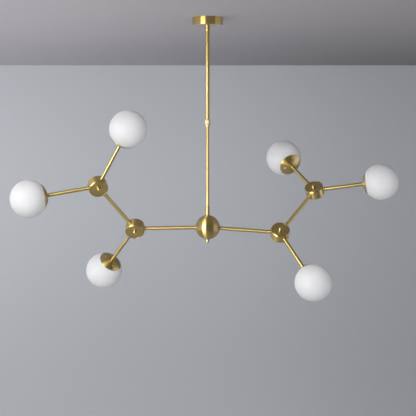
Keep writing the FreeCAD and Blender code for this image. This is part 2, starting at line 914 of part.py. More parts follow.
def lampholder():
    """Holder with a wiring chamber above and the bulb's socket below."""
    foot = HOLDER_TOP + " - holder_length"
    ceiling = HOLDER_TOP + " - holder_base"
    chamber = ceiling + " - holder_cavity_height"
    section = [
        ("nipple_radius + fit", HOLDER_TOP),
        ("holder_radius", HOLDER_TOP),
        ("holder_radius", foot),
        ("bulb_cap_radius + play", foot),
        ("bulb_cap_radius + play", chamber),
        ("holder_cavity_radius", chamber),
        ("holder_cavity_radius", ceiling),
        ("nipple_radius + fit", ceiling),
    ]
    return turned("Holder", section)


def bulb():
    """Ball bulb: a screw cap, a flared neck and a round hollow end."""
    mouth = "(%s - holder_length)" % HOLDER_TOP
    centre = "(%s - bulb_drop)" % mouth
    top = HOLDER_TOP + " - holder_base - holder_cavity_height - thread_proud"
    neck = mouth + " - thread_proud"
    inner = "(bulb_radius - bulb_wall)"
    section = [("0", top), ("bulb_cap_radius", top), ("bulb_cap_radius", neck)]
    section += zone("bulb_radius", "bulb_shoulder * 1deg", "180deg", BULB_ROWS, centre)[:-1]
    section += [("0", centre + " - bulb_radius"), ("0", centre + " - " + inner)]
    section += zone(inner, "180deg", "bulb_shoulder * 1deg", BULB_ROWS // 2, centre)[1:]
    section += [("bulb_cap_radius - bulb_wall", neck), ("0", neck)]
    return turned("Bulb", section)


def globe(name, placement):
    """Opal glass ball, open at the cup."""
    inner = "(globe_radius - globe_wall)"
    mouth = "asin(mouth_radius / %s)"
    section = zone("globe_radius", mouth % "globe_radius", "180deg", GLOBE_ROWS)[:-1]
    section += [("0", "-globe_radius"), ("0", "-" + inner)]
    section += zone(inner, "180deg", mouth % inner, GLOBE_ROWS)[1:]
    finished(turned(name, section), placement)


def lamps(name, drum_centre, drum_axis, directions):
    """The lamps of one drum: each piece of them is a node, a group where there are two lamps."""
    plural = "s" if len(directions) > 1 else ""
    nut_foot = size(HOLDER_TOP + " - holder_base - nut_thickness")
    nut_at = at_height(nut_foot)
    kinds = {"lamp_rod": [], "cup": [], "lampholder": [], "bulb": [], "globe_clips": []}
    for spot, direction, spin in directions:
        centre = drum_centre + direction * size("lamp_reach")
        turn = Placement(Vector(), Rotation(UP, spin))
        at_globe = axes_at(centre, -direction, drum_axis).multiply(turn)
        kinds["lamp_rod"].append(copy_at(forms["rod"], axes_at(drum_centre, direction, drum_axis)))
        kinds["cup"].append(copy_at(forms["cup"], at_globe))
        kinds["lampholder"].append(copy_at(forms["holder"], at_globe))
        kinds["lampholder"].append(copy_at(forms["nut"], at_globe.multiply(nut_at)))
        kinds["bulb"].append(copy_at(forms["bulb"], at_globe))
        kinds["globe_clips"].append(copy_at(forms["springs"], at_globe))
        kinds["globe_clips"].append(copy_at(forms["screws"], at_globe))
        globe(spot + "_globe", at_globe)
    for kind, copies in kinds.items():
        ending = "" if kind == "globe_clips" else plural
        finished(group("%s_%s%s" % (name, kind, ending), copies))


# ---------------------------------------------------------------- branches


def rolled(axis, start, angle):
    """A vector at right angles to the axis, turned about it."""
    return start * math.cos(angle) + axis.cross(start) * math.sin(angle)


def branch(side, spins):
    """One arm with its two drums, its branch rod and its three lamps."""
    hub = Vector(0, 0, -size("hub_depth"))
    along = arm_direction(side)
    upright = (UP - along * along.dot(UP)).normalize()
    inner_side = rolled(along, upright, math.radians(size(side + "_arm_roll")))
    inner_axis = along.cross(inner_side)
    inner_centre = hub + along * size("arm_length")
    rise = along * math.cos(TURN) + inner_side * math.sin(TURN)
    dip = along * math.cos(TURN) - inner_side * math.sin(TURN)

    outer_start = (along - rise * along.dot(rise)).normalize()
    outer_side = rolled(rise, outer_start, math.radians(size(side + "_branch_roll")))
    outer_axis = rise.cross(outer_side)
    outer_centre = inner_centre + rise * size("branch_length")
    outwards = rise * math.cos(TURN) + outer_side * math.sin(TURN)
    inwards = rise * math.cos(TURN) - outer_side * math.sin(TURN)

    arm(side, axes_at(hub, along, inner_axis))
    branch_rod(side, axes_at(inner_centre, rise, inner_axis))
    drum(side + "_inner", axes_at(inner_centre, inner_axis, -along))
    drum(side + "_outer", axes_at(outer_centre, outer_axis, -rise))
    low_spin, out_spin, top_spin = spins
    lamps(side + "_inner", inner_centre, inner_axis, [(side + "_low", dip, low_spin)])
    upper = [(side + "_out", outwards, out_spin), (side + "_top", inwards, top_spin)]
    lamps(side + "_outer", outer_centre, outer_axis, upper)


# ---------------------------------------------------------------- the whole lamp

fill_sheet()
ceiling_bracket()
canopy()
canopy_screws()
terminal_block()
stem_nipple()
canopy_ferrule()
outer_tube()
stem_collet()
locking_collar()
inner_tube()
hub_ferrule()
swivel_nipple()
hub_ball()
hub_core()
hub_plug()
finial()

forms = {
    "rod": lamp_rod(),
    "cup": cup(),
    "holder": lampholder(),
    "nut": hex_nut("nipple_radius + fit"),
    "bulb": bulb(),
    "springs": clip_springs(),
    "screws": clip_screws(),
}
# how far each lamp's cup happened to be turned on its rod: lower, outer and upper lamp
branch("left", (73.0, 30.0, 30.0))
branch("right", (30.0, 30.0, 24.0))

doc.recompute()
for item in doc.Objects:
    if "Invalid" in item.State or "Error" in item.State:
        raise RuntimeError("%s failed: %s" % (item.Label, item.State))
os.makedirs("parts", exist_ok=True)
for piece in parts:
    if piece.Shape.isNull() or not piece.Shape.isValid():
        raise RuntimeError(piece.Label + " has no valid shape")
    piece.Shape.exportStep("parts/%s.step" % piece.Label)
print(len(parts), "nodes,", sum(len(piece.Shape.Solids) for piece in parts), "solids")
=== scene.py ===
import json
import math

import bmesh
import bpy
from mathutils import Matrix, Vector

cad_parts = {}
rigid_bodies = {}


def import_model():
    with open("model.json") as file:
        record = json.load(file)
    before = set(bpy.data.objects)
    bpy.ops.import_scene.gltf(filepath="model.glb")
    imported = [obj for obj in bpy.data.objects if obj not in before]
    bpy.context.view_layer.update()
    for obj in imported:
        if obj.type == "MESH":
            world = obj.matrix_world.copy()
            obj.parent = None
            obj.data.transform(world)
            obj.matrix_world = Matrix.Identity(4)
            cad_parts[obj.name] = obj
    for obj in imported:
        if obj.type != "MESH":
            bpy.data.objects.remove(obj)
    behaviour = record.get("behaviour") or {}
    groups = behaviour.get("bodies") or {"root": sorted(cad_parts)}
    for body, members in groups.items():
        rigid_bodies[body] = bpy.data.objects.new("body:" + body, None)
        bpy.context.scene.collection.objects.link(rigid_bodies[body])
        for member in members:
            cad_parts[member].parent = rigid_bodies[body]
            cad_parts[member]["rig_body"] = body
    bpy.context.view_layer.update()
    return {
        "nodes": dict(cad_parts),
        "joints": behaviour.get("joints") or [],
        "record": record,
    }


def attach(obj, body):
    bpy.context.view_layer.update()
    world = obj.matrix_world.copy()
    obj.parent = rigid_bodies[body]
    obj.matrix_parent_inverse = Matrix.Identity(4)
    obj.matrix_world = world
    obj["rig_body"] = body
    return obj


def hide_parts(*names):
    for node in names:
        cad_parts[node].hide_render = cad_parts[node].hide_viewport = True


# Looks of the branch chandelier. The turned brass pieces, the cups and the opal globes are built
# here as fine meshes in the places the frame gives. Small and hidden pieces keep the meshes of the
# frame and get their finish. Outlines are in millimetres, and every placed thing is in metres.

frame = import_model()

MM = 0.001
UP = Vector((0, 0, 1))
FAR = Vector((0, 1, 0))

# ---------------------------------------------------------------- sizes, in millimetres

# Clearances of a screwed and of a sliding fit
FIT = 0.05
PLAY = 0.1

# Roundings of a hidden edge and of an ordinary turned edge
FINE_EDGE = 0.2
TURNED_EDGE = 0.3

# Canopy and upper tube of the stem, with heights over the ceiling plane
CANOPY_RADIUS = 50.0
CANOPY_HEIGHT = 26.0
CANOPY_WALL = 1.2
CANOPY_EDGE = 1.6
CANOPY_INNER_EDGE = 0.5
NIPPLE_RADIUS = 5.0
NIPPLE_BORE = 3.5
FERRULE_RADIUS = 9.0
FERRULE_FOOT_RADIUS = 8.6
FERRULE_LENGTH = 19.0
FERRULE_EDGE = 0.8
OUTER_TUBE_RADIUS = 7.0
OUTER_TUBE_TOP = -30.0
OUTER_TUBE_FOOT = -347.0
TUBE_WALL = 1.0

# Lower tube of the stem and its sleeve, with heights over the hub's centre
INNER_TUBE_RADIUS = 5.5
INNER_TUBE_FOOT = 46.9
INNER_TUBE_TOP = 412.46
STOP_RADIUS = 5.9
STOP_LENGTH = 10.0
SLEEVE_RADIUS = 7.25
SLEEVE_FOOT = 37.9
SLEEVE_LENGTH = 31.0
SLEEVE_EDGE = 0.7

# Locking collar, with heights over the outer tube's foot. Its flutes run out across the fade.
COLLAR_RADIUS = 9.5
COLLAR_TOP = 12.0
COLLAR_FOOT = -6.0
COLLAR_WALL = 1.1
COLLAR_EDGE = 0.8
NOSE_RADIUS = 7.5
NOSE_FOOT = -11.5
NOSE_LIP = 1.8
NOSE_EDGE = 0.5
FLUTES = 30
FLUTE_DEPTH = 0.45
FLUTE_END = 1.3
FLUTE_FADE = 0.2

# Hub
HUB_HEIGHT = -687.0
BALL_RADIUS = 40.0
BALL_WALL = 1.2
SEAM_ANGLE = 89.75
FINIAL_RADIUS = 6.5
FINIAL_HEIGHT = 10.0
FINIAL_THREAD = 3.0
FINIAL_TIP = -32.5
FINIAL_SLOPE_WIDTH = 1.2
FINIAL_SLOPE_HEIGHT = 1.4
FINIAL_EDGE = 0.4

# Drum joints, with heights over the drum's middle
DRUM_WAYS = 3
DRUM_RADIUS = 31.0
DRUM_HEIGHT = 33.0
DRUM_WALL = 6.0
DRUM_EDGE = 3.0
DRUM_LIP = 0.25
COVER_RADIUS = 27.0
COVER_THICKNESS = 2.0
COVER_STEP = 0.3
COVER_CHAMFER = 0.8
COVER_TOP = DRUM_HEIGHT / 2 - COVER_STEP
COVER_SEAT = COVER_TOP - COVER_THICKNESS
GROOVE_BORDER = 1.2
GROOVE_PITCH = 1.5
GROOVE_WIDTH = 0.44
GROOVE_DEPTH = 0.08
GROOVES_END = 7.5
STUD_RADIUS = 2.5
STUD_HALF_LENGTH = 20.9
CAP_NUT_RADIUS = 6.0
CAP_NUT_HEIGHT = 8.0
CAP_NUT_SHOULDER = 6.2
CAP_NUT_EDGE = 1.0
CAP_NUT_DOME_RADIUS = 3.6
CAP_NUT_DOME_HEIGHT = 7.6
CAP_NUT_DOME_EDGE = 2.0

# Arms and rods, with heights along them from the hub's centre or from a drum's
ROD_RADIUS = 6.0
ROD_BORE = ROD_RADIUS - TUBE_WALL
ROD_COLLAR_RADIUS = 7.0
ROD_COLLAR_LENGTH = 5.0
ROD_COLLAR_START = DRUM_RADIUS + PLAY
ROD_COLLAR_END = ROD_COLLAR_START + ROD_COLLAR_LENGTH
ROD_COLLAR_EDGE = 0.6
ROOT_NUT_RADIUS = 8.0
ROOT_NUT_THICKNESS = 2.6
ROOT_NUT_TOP = 23.6
ROOT_NUT_FOOT = ROOT_NUT_TOP - ROOT_NUT_THICKNESS
ARM_ROOT = 8.0
ARM_LENGTH = 238.0
BRANCH_LENGTH = 220.0
LAMP_REACH = 224.0

# Lamps, with distances from the globe's centre and angles in degrees from its axis
GLOBE_RADIUS = 60.0
GLOBE_WALL = 2.5
MOUTH_RADIUS = 27.0
CUP_INNER = 60.4
CUP_OUTER = 61.6
CUP_ANGLE = 39.0
CUP_RIM_ANGLE = 0.6
SPIGOT_TIP = 50.3

# Facets round a turned mesh
WIDE_FACETS = 144    # canopy and ball
ROUND_FACETS = 120   # drums, cups and globes
COVER_FACETS = 96
TUBE_FACETS = 64     # tubes, sleeves and finial
NUT_FACETS = 48      # cap nuts and bores
STUD_FACETS = 24
FLUTE_FACETS = 10    # across one flute of the collar

# Steps along the arcs of an outline
BALL_STEPS = 40
GLOBE_STEPS = 72
CUP_STEPS = 32
LIP_STEPS = 8
CUP_RIM_STEPS = 6

# Below these a radius is on the axis, a corner is straight and an edge is shaded smooth
ON_AXIS = 1e-6
STRAIGHT = 0.01
SMOOTH_BELOW = math.radians(32)

# ---------------------------------------------------------------- node materials

# Numbers of the Mix node's colour sockets
MIX_FIRST = 6
MIX_SECOND = 7
MIX_RESULT = 2


def new_material(name):
    material = bpy.data.materials.new(name)
    material.use_nodes = True
    tree = material.node_tree
    return material, tree, tree.nodes["Principled BSDF"]


def set_sockets(node, values):
    for socket, value in values.items():
        node.inputs[socket].default_value = value


def add(tree, kind, **settings):
    """A new node. Each setting is one of its input sockets, or else one of its properties."""
    node = tree.nodes.new(kind)
    for key, value in settings.items():
        if key in node.inputs:
            node.inputs[key].default_value = value
        else:
            setattr(node, key, value)
    return node


def spread(tree, value, low, high):
    """A 0 to 1 value mapped to the range low to high."""
    node = add(tree, "ShaderNodeMapRange")
    set_sockets(node, {"To Min": low, "To Max": high})
    tree.links.new(value, node.inputs["Value"])
    return node.outputs["Result"]


def stretched_noise(tree, stretch, scale, detail):
    """Noise in the piece's own coordinates, drawn out along the directions of low stretch."""
    place = add(tree, "ShaderNodeTexCoord")
    mapping = add(tree, "ShaderNodeMapping", Scale=stretch)
    noise = add(tree, "ShaderNodeTexNoise", Scale=scale, Detail=detail)
    tree.links.new(place.outputs["Object"], mapping.inputs["Vector"])
    tree.links.new(mapping.outputs["Vector"], noise.inputs["Vector"])
    return noise.outputs["Fac"]


def even_noise(tree, scale, detail):
    """Noise that is the same in all directions of the piece."""
    return stretched_noise(tree, (1, 1, 1), scale, detail)


def tinted(tree, shader, weight, dark, light):
    """Colour the surface from dark to light by the weight."""
    tone = add(tree, "ShaderNodeMix", data_type="RGBA")
    tone.inputs[MIX_FIRST].default_value = (*dark, 1)
    tone.inputs[MIX_SECOND].default_value = (*light, 1)
    tree.links.new(weight, tone.inputs["Factor"])
    tree.links.new(tone.outputs[MIX_RESULT], shader.inputs["Base Color"])


def roughened(tree, shader, value, low, high):
    tree.links.new(spread(tree, value, low, high), shader.inputs["Roughness"])


def embossed(tree, shader, height, strength, distance):
    """Raise the surface's finest relief, with the distance in metres."""
    relief = add(tree, "ShaderNodeBump", Strength=strength, Distance=distance)
    tree.links.new(height, relief.inputs["Height"])
    tree.links.new(relief.outputs["Normal"], shader.inputs["Normal"])


# Every metal lies under a lacquer, and its stretched highlights are turned by a quarter
LACQUERED = {
    "Metallic": 1.0,
    "Coat Weight": 0.75,
    "Coat IOR": 1.8,
    "Coat Roughness": 0.12,
    "Anisotropic Rotation": 0.25,
}
BRUSH_SHARE = 0.55
CLOUD_SHARE = 1.0 - BRUSH_SHARE
SMOOTHEST = 0.85
ROUGHEST = 1.2


def metal(name, dark, light, lines, roughness, anisotropic, relief=0.04):
    """Lacquered metal with brush lines and faint clouds. Lines gives how fast the brush lines change
    along each axis, and the roughness varies with them from its smoothest to its roughest share."""
    material, tree, shader = new_material(name)
    set_sockets(shader, LACQUERED)
    shader.inputs["Anisotropic"].default_value = anisotropic
    if anisotropic:
        tangent = add(tree, "ShaderNodeTangent", direction_type="RADIAL", axis="Z")
        tree.links.new(tangent.outputs["Tangent"], shader.inputs["Tangent"])
    brush = stretched_noise(tree, lines, scale=1.0, detail=4.0)
    clouds = even_noise(tree, scale=38.0, detail=2.0)
    weight = add(tree, "ShaderNodeMath", operation="ADD")
    tree.links.new(spread(tree, brush, 0.0, BRUSH_SHARE), weight.inputs[0])
    tree.links.new(spread(tree, clouds, 0.0, CLOUD_SHARE), weight.inputs[1])
    tinted(tree, shader, weight.outputs[0], dark, light)
    roughened(tree, shader, brush, roughness * SMOOTHEST, roughness * ROUGHEST)
    embossed(tree, shader, brush, relief, distance=0.0004)
    return material


OPAL = {
    "Specular IOR Level": 0.3,
    "IOR": 1.45,
    "Subsurface Weight": 0.15,
    "Subsurface Radius": (0.01, 0.01, 0.01),
    "Subsurface Scale": 1.0,
}


def opal_glass(name, dark, light):
    """Satin opal: a white, slightly cloudy body under a thin matt skin."""
    material, tree, shader = new_material(name)
    set_sockets(shader, OPAL)
    clouds = even_noise(tree, scale=22.0, detail=2.0)
    grain = even_noise(tree, scale=900.0, detail=2.0)
    tinted(tree, shader, clouds, dark, light)
    roughened(tree, shader, grain, low=0.48, high=0.6)
    embossed(tree, shader, grain, strength=0.03, distance=0.0002)
    return material


GRAIN_ROUGHNESS = 0.08


def moulded(name, dark, light, roughness):
    """Moulded plastic or frosted glass with a fine grain."""
    material, tree, shader = new_material(name)
    grain = even_noise(tree, scale=700.0, detail=3.0)
    tinted(tree, shader, grain, dark, light)
    roughened(tree, shader, grain, roughness - GRAIN_ROUGHNESS, roughness + GRAIN_ROUGHNESS)
    embossed(tree, shader, grain, strength=0.08, distance=0.0003)
    return material


# How fast the brush lines of a surface change along X, Y and Z, per metre
TURNED = (18.0, 18.0, 2600.0)
DRAWN = (12.0, 12.0, 900.0)
GRAINED = (700.0, 700.0, 700.0)
PLATED = (160.0, 160.0, 160.0)

BRASS_DARK = (0.46, 0.325, 0.088)
BRASS_LIGHT = (0.64, 0.470, 0.150)
POLISHED_LIGHT = (0.74, 0.56, 0.22)
PALE_DARK = (0.52, 0.41, 0.21)
PALE_LIGHT = (0.72, 0.61, 0.38)
FACE_LIGHT = (0.54, 0.385, 0.115)
ZINC_DARK = (0.42, 0.42, 0.42)
ZINC_LIGHT = (0.60, 0.60, 0.58)
NICKEL_DARK = (0.56, 0.54, 0.52)
NICKEL_LIGHT = (0.74, 0.72, 0.69)
OPAL_DARK = (0.86, 0.86, 0.875)
OPAL_LIGHT = (0.90, 0.90, 0.91)
BULB_DARK = (0.80, 0.79, 0.77)
BULB_LIGHT = (0.88, 0.87, 0.85)
HOLDER_DARK = (0.02, 0.02, 0.02)
HOLDER_LIGHT = (0.05, 0.05, 0.05)
BLOCK_DARK = (0.72, 0.70, 0.64)
BLOCK_LIGHT = (0.82, 0.80, 0.75)

brass = metal("brushed_brass", BRASS_DARK, BRASS_LIGHT, TURNED, roughness=0.35, anisotropic=1.0)
drum_brass = metal("milled_brass", BRASS_DARK, BRASS_LIGHT, TURNED, roughness=0.30, anisotropic=0.95)
nut_brass = metal("polished_brass", BRASS_DARK, POLISHED_LIGHT, TURNED, roughness=0.27, anisotropic=0.6)
collar_brass = metal("pale_brass", PALE_DARK, PALE_LIGHT, TURNED, roughness=0.42, anisotropic=0.5)
tube_brass = metal("drawn_brass", BRASS_DARK, BRASS_LIGHT, DRAWN, roughness=0.29, anisotropic=1.0,
                   relief=0.02)
face_brass = metal("turned_brass", BRASS_DARK, FACE_LIGHT, GRAINED, roughness=0.25, anisotropic=0.3,
                   relief=0.06)
cup_brass = metal("spun_brass", BRASS_DARK, BRASS_LIGHT, TURNED, roughness=0.31, anisotropic=0.9)
steel = metal("zinc_steel", ZINC_DARK, ZINC_LIGHT, PLATED, roughness=0.36, anisotropic=0.0)
nickel = metal("nickel_steel", NICKEL_DARK, NICKEL_LIGHT, PLATED, roughness=0.22, anisotropic=0.0)
opal = opal_glass("opal_glass", OPAL_DARK, OPAL_LIGHT)
bulb_white = moulded("frosted_bulb", BULB_DARK, BULB_LIGHT, roughness=0.4)
holder_black = moulded("holder_plastic", HOLDER_DARK, HOLDER_LIGHT, roughness=0.45)
block_ivory = moulded("block_plastic", BLOCK_DARK, BLOCK_LIGHT, roughness=0.5)

# ---------------------------------------------------------------- turned meshes


def softened(corners, steps=4):
    """Closed outline through (radius, height) corners. A corner with a third value, its rounding,
    becomes a small arc of that radius."""
    points = []
    count = len(corners)
    for index, corner in enumerate(corners):
        here = Vector(corner[:2])
        rounding = corner[2] if len(corner) > 2 else 0.0
        if not rounding:
            points.append(here)
            continue
        before = (Vector(corners[index - 1][:2]) - here).normalized()
        after = (Vector(corners[(index + 1) % count][:2]) - here).normalized()
        half = before.angle(after) / 2
        if math.pi / 2 - half < STRAIGHT:
            points.append(here)
            continue
        reach = rounding / math.tan(half)
        centre = here + (before + after).normalized() * rounding / math.sin(half)
        first = here + before * reach - centre
        last = here + after * reach - centre
        turn = first.angle_signed(last)
        for step in range(steps + 1):
            angle = -turn * step / steps
            points.append(centre + Matrix.Rotation(angle, 2) @ first)
    return points


def arc(radius, start, end, steps):
    """Points on a circle about the origin, angles in degrees from the +Z axis."""
    points = []
    for step in range(steps + 1):
        angle = math.radians(start + (end - start) * step / steps)
        points.append(Vector((radius * math.sin(angle), radius * math.cos(angle))))
    return points


def lathe_mesh(name, points, segments, wave=None):
    """Mesh, in metres, of a closed (radius, height) outline turned about Z. The optional wave
    gives how far a point moves out from Z, from its radius, height and angle."""
    shape = bmesh.new()
    rings = []
    for radius, height in points:
        if radius < ON_AXIS:
            rings.append([shape.verts.new((0, 0, height * MM))])
            continue
        ring = []
        for step in range(segments):
            angle = 2 * math.pi * step / segments
            out = radius + (wave(radius, height, angle) if wave else 0.0)
            place = (out * math.cos(angle) * MM, out * math.sin(angle) * MM, height * MM)
            ring.append(shape.verts.new(place))
        rings.append(ring)
    for index, ring in enumerate(rings):
        other = rings[(index + 1) % len(rings)]
        if len(ring) == 1 and len(other) == 1:
            continue
        for step in range(segments):
            following = (step + 1) % segments
            corners = [ring[step % len(ring)], ring[following % len(ring)]]
            corners += [other[following % len(other)], other[step % len(other)]]
            shape.faces.new(list(dict.fromkeys(corners)))
    bmesh.ops.recalc_face_normals(shape, faces=shape.faces)
    mesh = bpy.data.meshes.new(name)
    shape.to_mesh(mesh)
    shape.free()
    mesh.shade_smooth()
    mesh.set_sharp_from_angle(angle=SMOOTH_BELOW)
    return mesh


def axes_at(origin, z_axis, x_axis):
    """Placement in metres with the given origin, Z axis and X axis."""
    z = Vector(z_axis).normalized()
    x = (Vector(x_axis) - z * z.dot(Vector(x_axis))).normalized()
    y = z.cross(x)
    turned = Matrix((x, y, z)).transposed().to_4x4()
    return Matrix.Translation(origin) @ turned


def piece(name, mesh, place, material, node):
    """Put a mesh in its place in the object, standing for a node of the frame."""
    thing = bpy.data.objects.new(name, mesh)
    bpy.context.scene.collection.objects.link(thing)
    thing.matrix_world = place
    mesh.materials.append(material)
    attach(thing, frame["nodes"][node]["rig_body"])
    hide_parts(node)
    return thing


def turned(name, points, place, material, slot, node, segments, wave=None):
    return piece(name, lathe_mesh(name, points, segments, wave), place, material, node)


def pierced(mesh, bores):
    """The mesh with round bores cut in it. A bore is a placement, a radius, and where it starts
    and ends on the placement's Z axis."""
    carrier = bpy.data.objects.new("carrier", mesh)
    bpy.context.scene.collection.objects.link(carrier)
    drills = []
    for number, (place, radius, start, end) in enumerate(bores):
        outline = [Vector((0, start)), Vector((radius, start)), Vector((radius, end)), Vector((0, end))]
        drill = bpy.data.objects.new("drill_%d" % number, lathe_mesh("drill", outline, NUT_FACETS))
        bpy.context.scene.collection.objects.link(drill)
        drill.matrix_world = place
        drills.append(drill)
        cutting = carrier.modifiers.new("bore_%d" % number, "BOOLEAN")
        cutting.operation = "DIFFERENCE"
        cutting.solver = "EXACT"
        cutting.object = drill
    bpy.context.view_layer.update()
    seen = carrier.evaluated_get(bpy.context.evaluated_depsgraph_get())
    result = bpy.data.meshes.new_from_object(seen)
    result.name = mesh.name
    for thing in drills + [carrier]:
        bpy.data.objects.remove(thing)
    result.shade_smooth()
    result.set_sharp_from_angle(angle=SMOOTH_BELOW)
    return result


# ---------------------------------------------------------------- where things are


def joint(name):
    return next(item for item in frame["joints"] if item["name"] == name)


def branch_points(side):
    """Centres and directions of one branch, from the frame's joints: the inner and outer drum's
    centres, the arm's and branch rod's directions, both drums' axes and the lamps' directions."""
    roll = joint(side + "_arm_roll")
    turn = joint(side + "_branch_roll")
    inner = Vector(roll["pos_m"])
    outer = Vector(turn["pos_m"])
    along = Vector(roll["axis"])
    rise = Vector(turn["axis"])
    reach = {}
    for spot in ("low", "out", "top"):
        reach[spot] = Vector(joint("%s_%s_globe_pull" % (side, spot))["axis"])
    return {
        "inner": inner,
        "outer": outer,
        "along": along,
        "rise": rise,
        "inner_axis": along.cross(rise).normalized(),
        "outer_axis": rise.cross(reach["out"]).normalized(),
        "reach": reach,
    }


# ---------------------------------------------------------------- stem

ceiling_plane = Matrix.Identity(4)
hub = Matrix.Translation((0, 0, HUB_HEIGHT * MM))
tube_foot = Matrix.Translation((0, 0, OUTER_TUBE_FOOT * MM))

canopy_inner = CANOPY_RADIUS - CANOPY_WALL
canopy_outline = softened([
    (canopy_inner, 0.0),
    (CANOPY_RADIUS, 0.0, TURNED_EDGE),
    (CANOPY_RADIUS, -CANOPY_HEIGHT, CANOPY_EDGE),
    (NIPPLE_RADIUS + PLAY, -CANOPY_HEIGHT),
    (NIPPLE_RADIUS + PLAY, CANOPY_WALL - CANOPY_HEIGHT),
    (canopy_inner, CANOPY_WALL - CANOPY_HEIGHT, CANOPY_INNER_EDGE),
], steps=6)
turned("canopy_shell", canopy_outline, ceiling_plane, brass, "brass", "canopy", WIDE_FACETS)

ferrule_foot = -CANOPY_HEIGHT - FERRULE_LENGTH
ferrule_outline = softened([
    (NIPPLE_RADIUS + PLAY, -CANOPY_HEIGHT),
    (FERRULE_RADIUS, -CANOPY_HEIGHT, TURNED_EDGE),
    (FERRULE_FOOT_RADIUS, ferrule_foot, FERRULE_EDGE),
    (OUTER_TUBE_RADIUS + FIT, ferrule_foot, FINE_EDGE),
    (OUTER_TUBE_RADIUS + FIT, OUTER_TUBE_TOP),
    (NIPPLE_RADIUS + PLAY, OUTER_TUBE_TOP),
])
turned("canopy_sleeve", ferrule_outline, ceiling_plane, brass, "brass", "canopy_ferrule", TUBE_FACETS)

outer_tube_outline = softened([
    (OUTER_TUBE_RADIUS - TUBE_WALL, OUTER_TUBE_TOP),
    (OUTER_TUBE_RADIUS, OUTER_TUBE_TOP, FINE_EDGE),
    (OUTER_TUBE_RADIUS, OUTER_TUBE_FOOT, TURNED_EDGE),
    (OUTER_TUBE_RADIUS - TUBE_WALL, OUTER_TUBE_FOOT, FINE_EDGE),
])
turned("upper_tube", outer_tube_outline, ceiling_plane, tube_brass, "brass", "outer_tube", TUBE_FACETS)


def flute_wave(radius, height, angle):
    """Grip flutes cut into the collar's outer face, ending before its rounded edges."""
    if radius < COLLAR_RADIUS - 2 * FLUTE_DEPTH:
        return 0.0
    if not COLLAR_FOOT + FLUTE_END < height < COLLAR_TOP - FLUTE_END:
        return 0.0
    return -FLUTE_DEPTH * (0.5 - 0.5 * math.cos(FLUTES * angle)) ** 2


nose_bore = INNER_TUBE_RADIUS + 2 * PLAY
collar_outline = softened([
    (OUTER_TUBE_RADIUS + PLAY, COLLAR_TOP, FINE_EDGE),
    (COLLAR_RADIUS, COLLAR_TOP, COLLAR_EDGE),
    (COLLAR_RADIUS, COLLAR_TOP - FLUTE_END + FLUTE_FADE),
    (COLLAR_RADIUS, COLLAR_TOP - FLUTE_END - FLUTE_FADE),
    (COLLAR_RADIUS, COLLAR_FOOT + FLUTE_END + FLUTE_FADE),
    (COLLAR_RADIUS, COLLAR_FOOT + FLUTE_END - FLUTE_FADE),
    (COLLAR_RADIUS, COLLAR_FOOT, COLLAR_EDGE),
    ((COLLAR_RADIUS + NOSE_RADIUS) / 2, COLLAR_FOOT, FINE_EDGE),
    (NOSE_RADIUS, NOSE_FOOT, NOSE_EDGE),
    (nose_bore, NOSE_FOOT),
    (nose_bore, NOSE_FOOT + NOSE_LIP),
    (NOSE_RADIUS - COLLAR_WALL, NOSE_FOOT + NOSE_LIP),
    (OUTER_TUBE_RADIUS + PLAY, -PLAY),
])
turned("grip_collar", collar_outline, tube_foot, collar_brass, "brass", "locking_collar",
       FLUTES * FLUTE_FACETS, flute_wave)

inner_tube_outline = softened([
    (INNER_TUBE_RADIUS - TUBE_WALL, INNER_TUBE_FOOT),
    (INNER_TUBE_RADIUS, INNER_TUBE_FOOT),
    (INNER_TUBE_RADIUS, INNER_TUBE_TOP - STOP_LENGTH),
    (STOP_RADIUS, INNER_TUBE_TOP - STOP_LENGTH, FINE_EDGE),
    (STOP_RADIUS, INNER_TUBE_TOP, FINE_EDGE),
    (INNER_TUBE_RADIUS - TUBE_WALL, INNER_TUBE_TOP),
])
turned("lower_tube", inner_tube_outline, hub, tube_brass, "brass", "inner_tube", TUBE_FACETS)

sleeve_outline = softened([
    (INNER_TUBE_RADIUS + FIT, SLEEVE_FOOT + SLEEVE_LENGTH, FINE_EDGE),
    (SLEEVE_RADIUS, SLEEVE_FOOT + SLEEVE_LENGTH, SLEEVE_EDGE),
    (SLEEVE_RADIUS, SLEEVE_FOOT, TURNED_EDGE),
    (NIPPLE_RADIUS + FIT, SLEEVE_FOOT),
    (NIPPLE_RADIUS + FIT, INNER_TUBE_FOOT),
    (INNER_TUBE_RADIUS + FIT, INNER_TUBE_FOOT),
])
turned("hub_sleeve", sleeve_outline, hub, brass, "brass", "hub_ferrule", TUBE_FACETS)

# ---------------------------------------------------------------- hub

left = branch_points("left")
right = branch_points("right")
hub_point = Vector((0, 0, HUB_HEIGHT * MM))
arm_bores = [
    (axes_at((0, 0, 0), branch["along"], FAR), ROD_RADIUS + PLAY, 0.0, 2 * BALL_RADIUS)
    for branch in (left, right)
]


def half_ball(name, node, hole, sign):
    """Half shell of the hub's ball, upper for a sign of 1 and lower for -1, with a round hole at its
    pole and bores for the two arms. It ends a little before the equator, which shows as a seam."""
    inner = BALL_RADIUS - BALL_WALL
    outer_start = math.degrees(math.asin(hole / BALL_RADIUS))
    inner_start = math.degrees(math.asin(hole / inner))
    points = arc(BALL_RADIUS, outer_start, SEAM_ANGLE, BALL_STEPS)
    points += arc(inner, SEAM_ANGLE, inner_start, BALL_STEPS)
    points = [Vector((point.x, sign * point.y)) for point in points]
    mesh = pierced(lathe_mesh(name, points, WIDE_FACETS), arm_bores)
    return piece(name, mesh, hub, brass, node)


half_ball("ball_upper_half", "hub_ball_upper", SLEEVE_RADIUS + PLAY, 1)
half_ball("ball_lower_half", "hub_ball_lower", FINIAL_THREAD + FIT, -1)

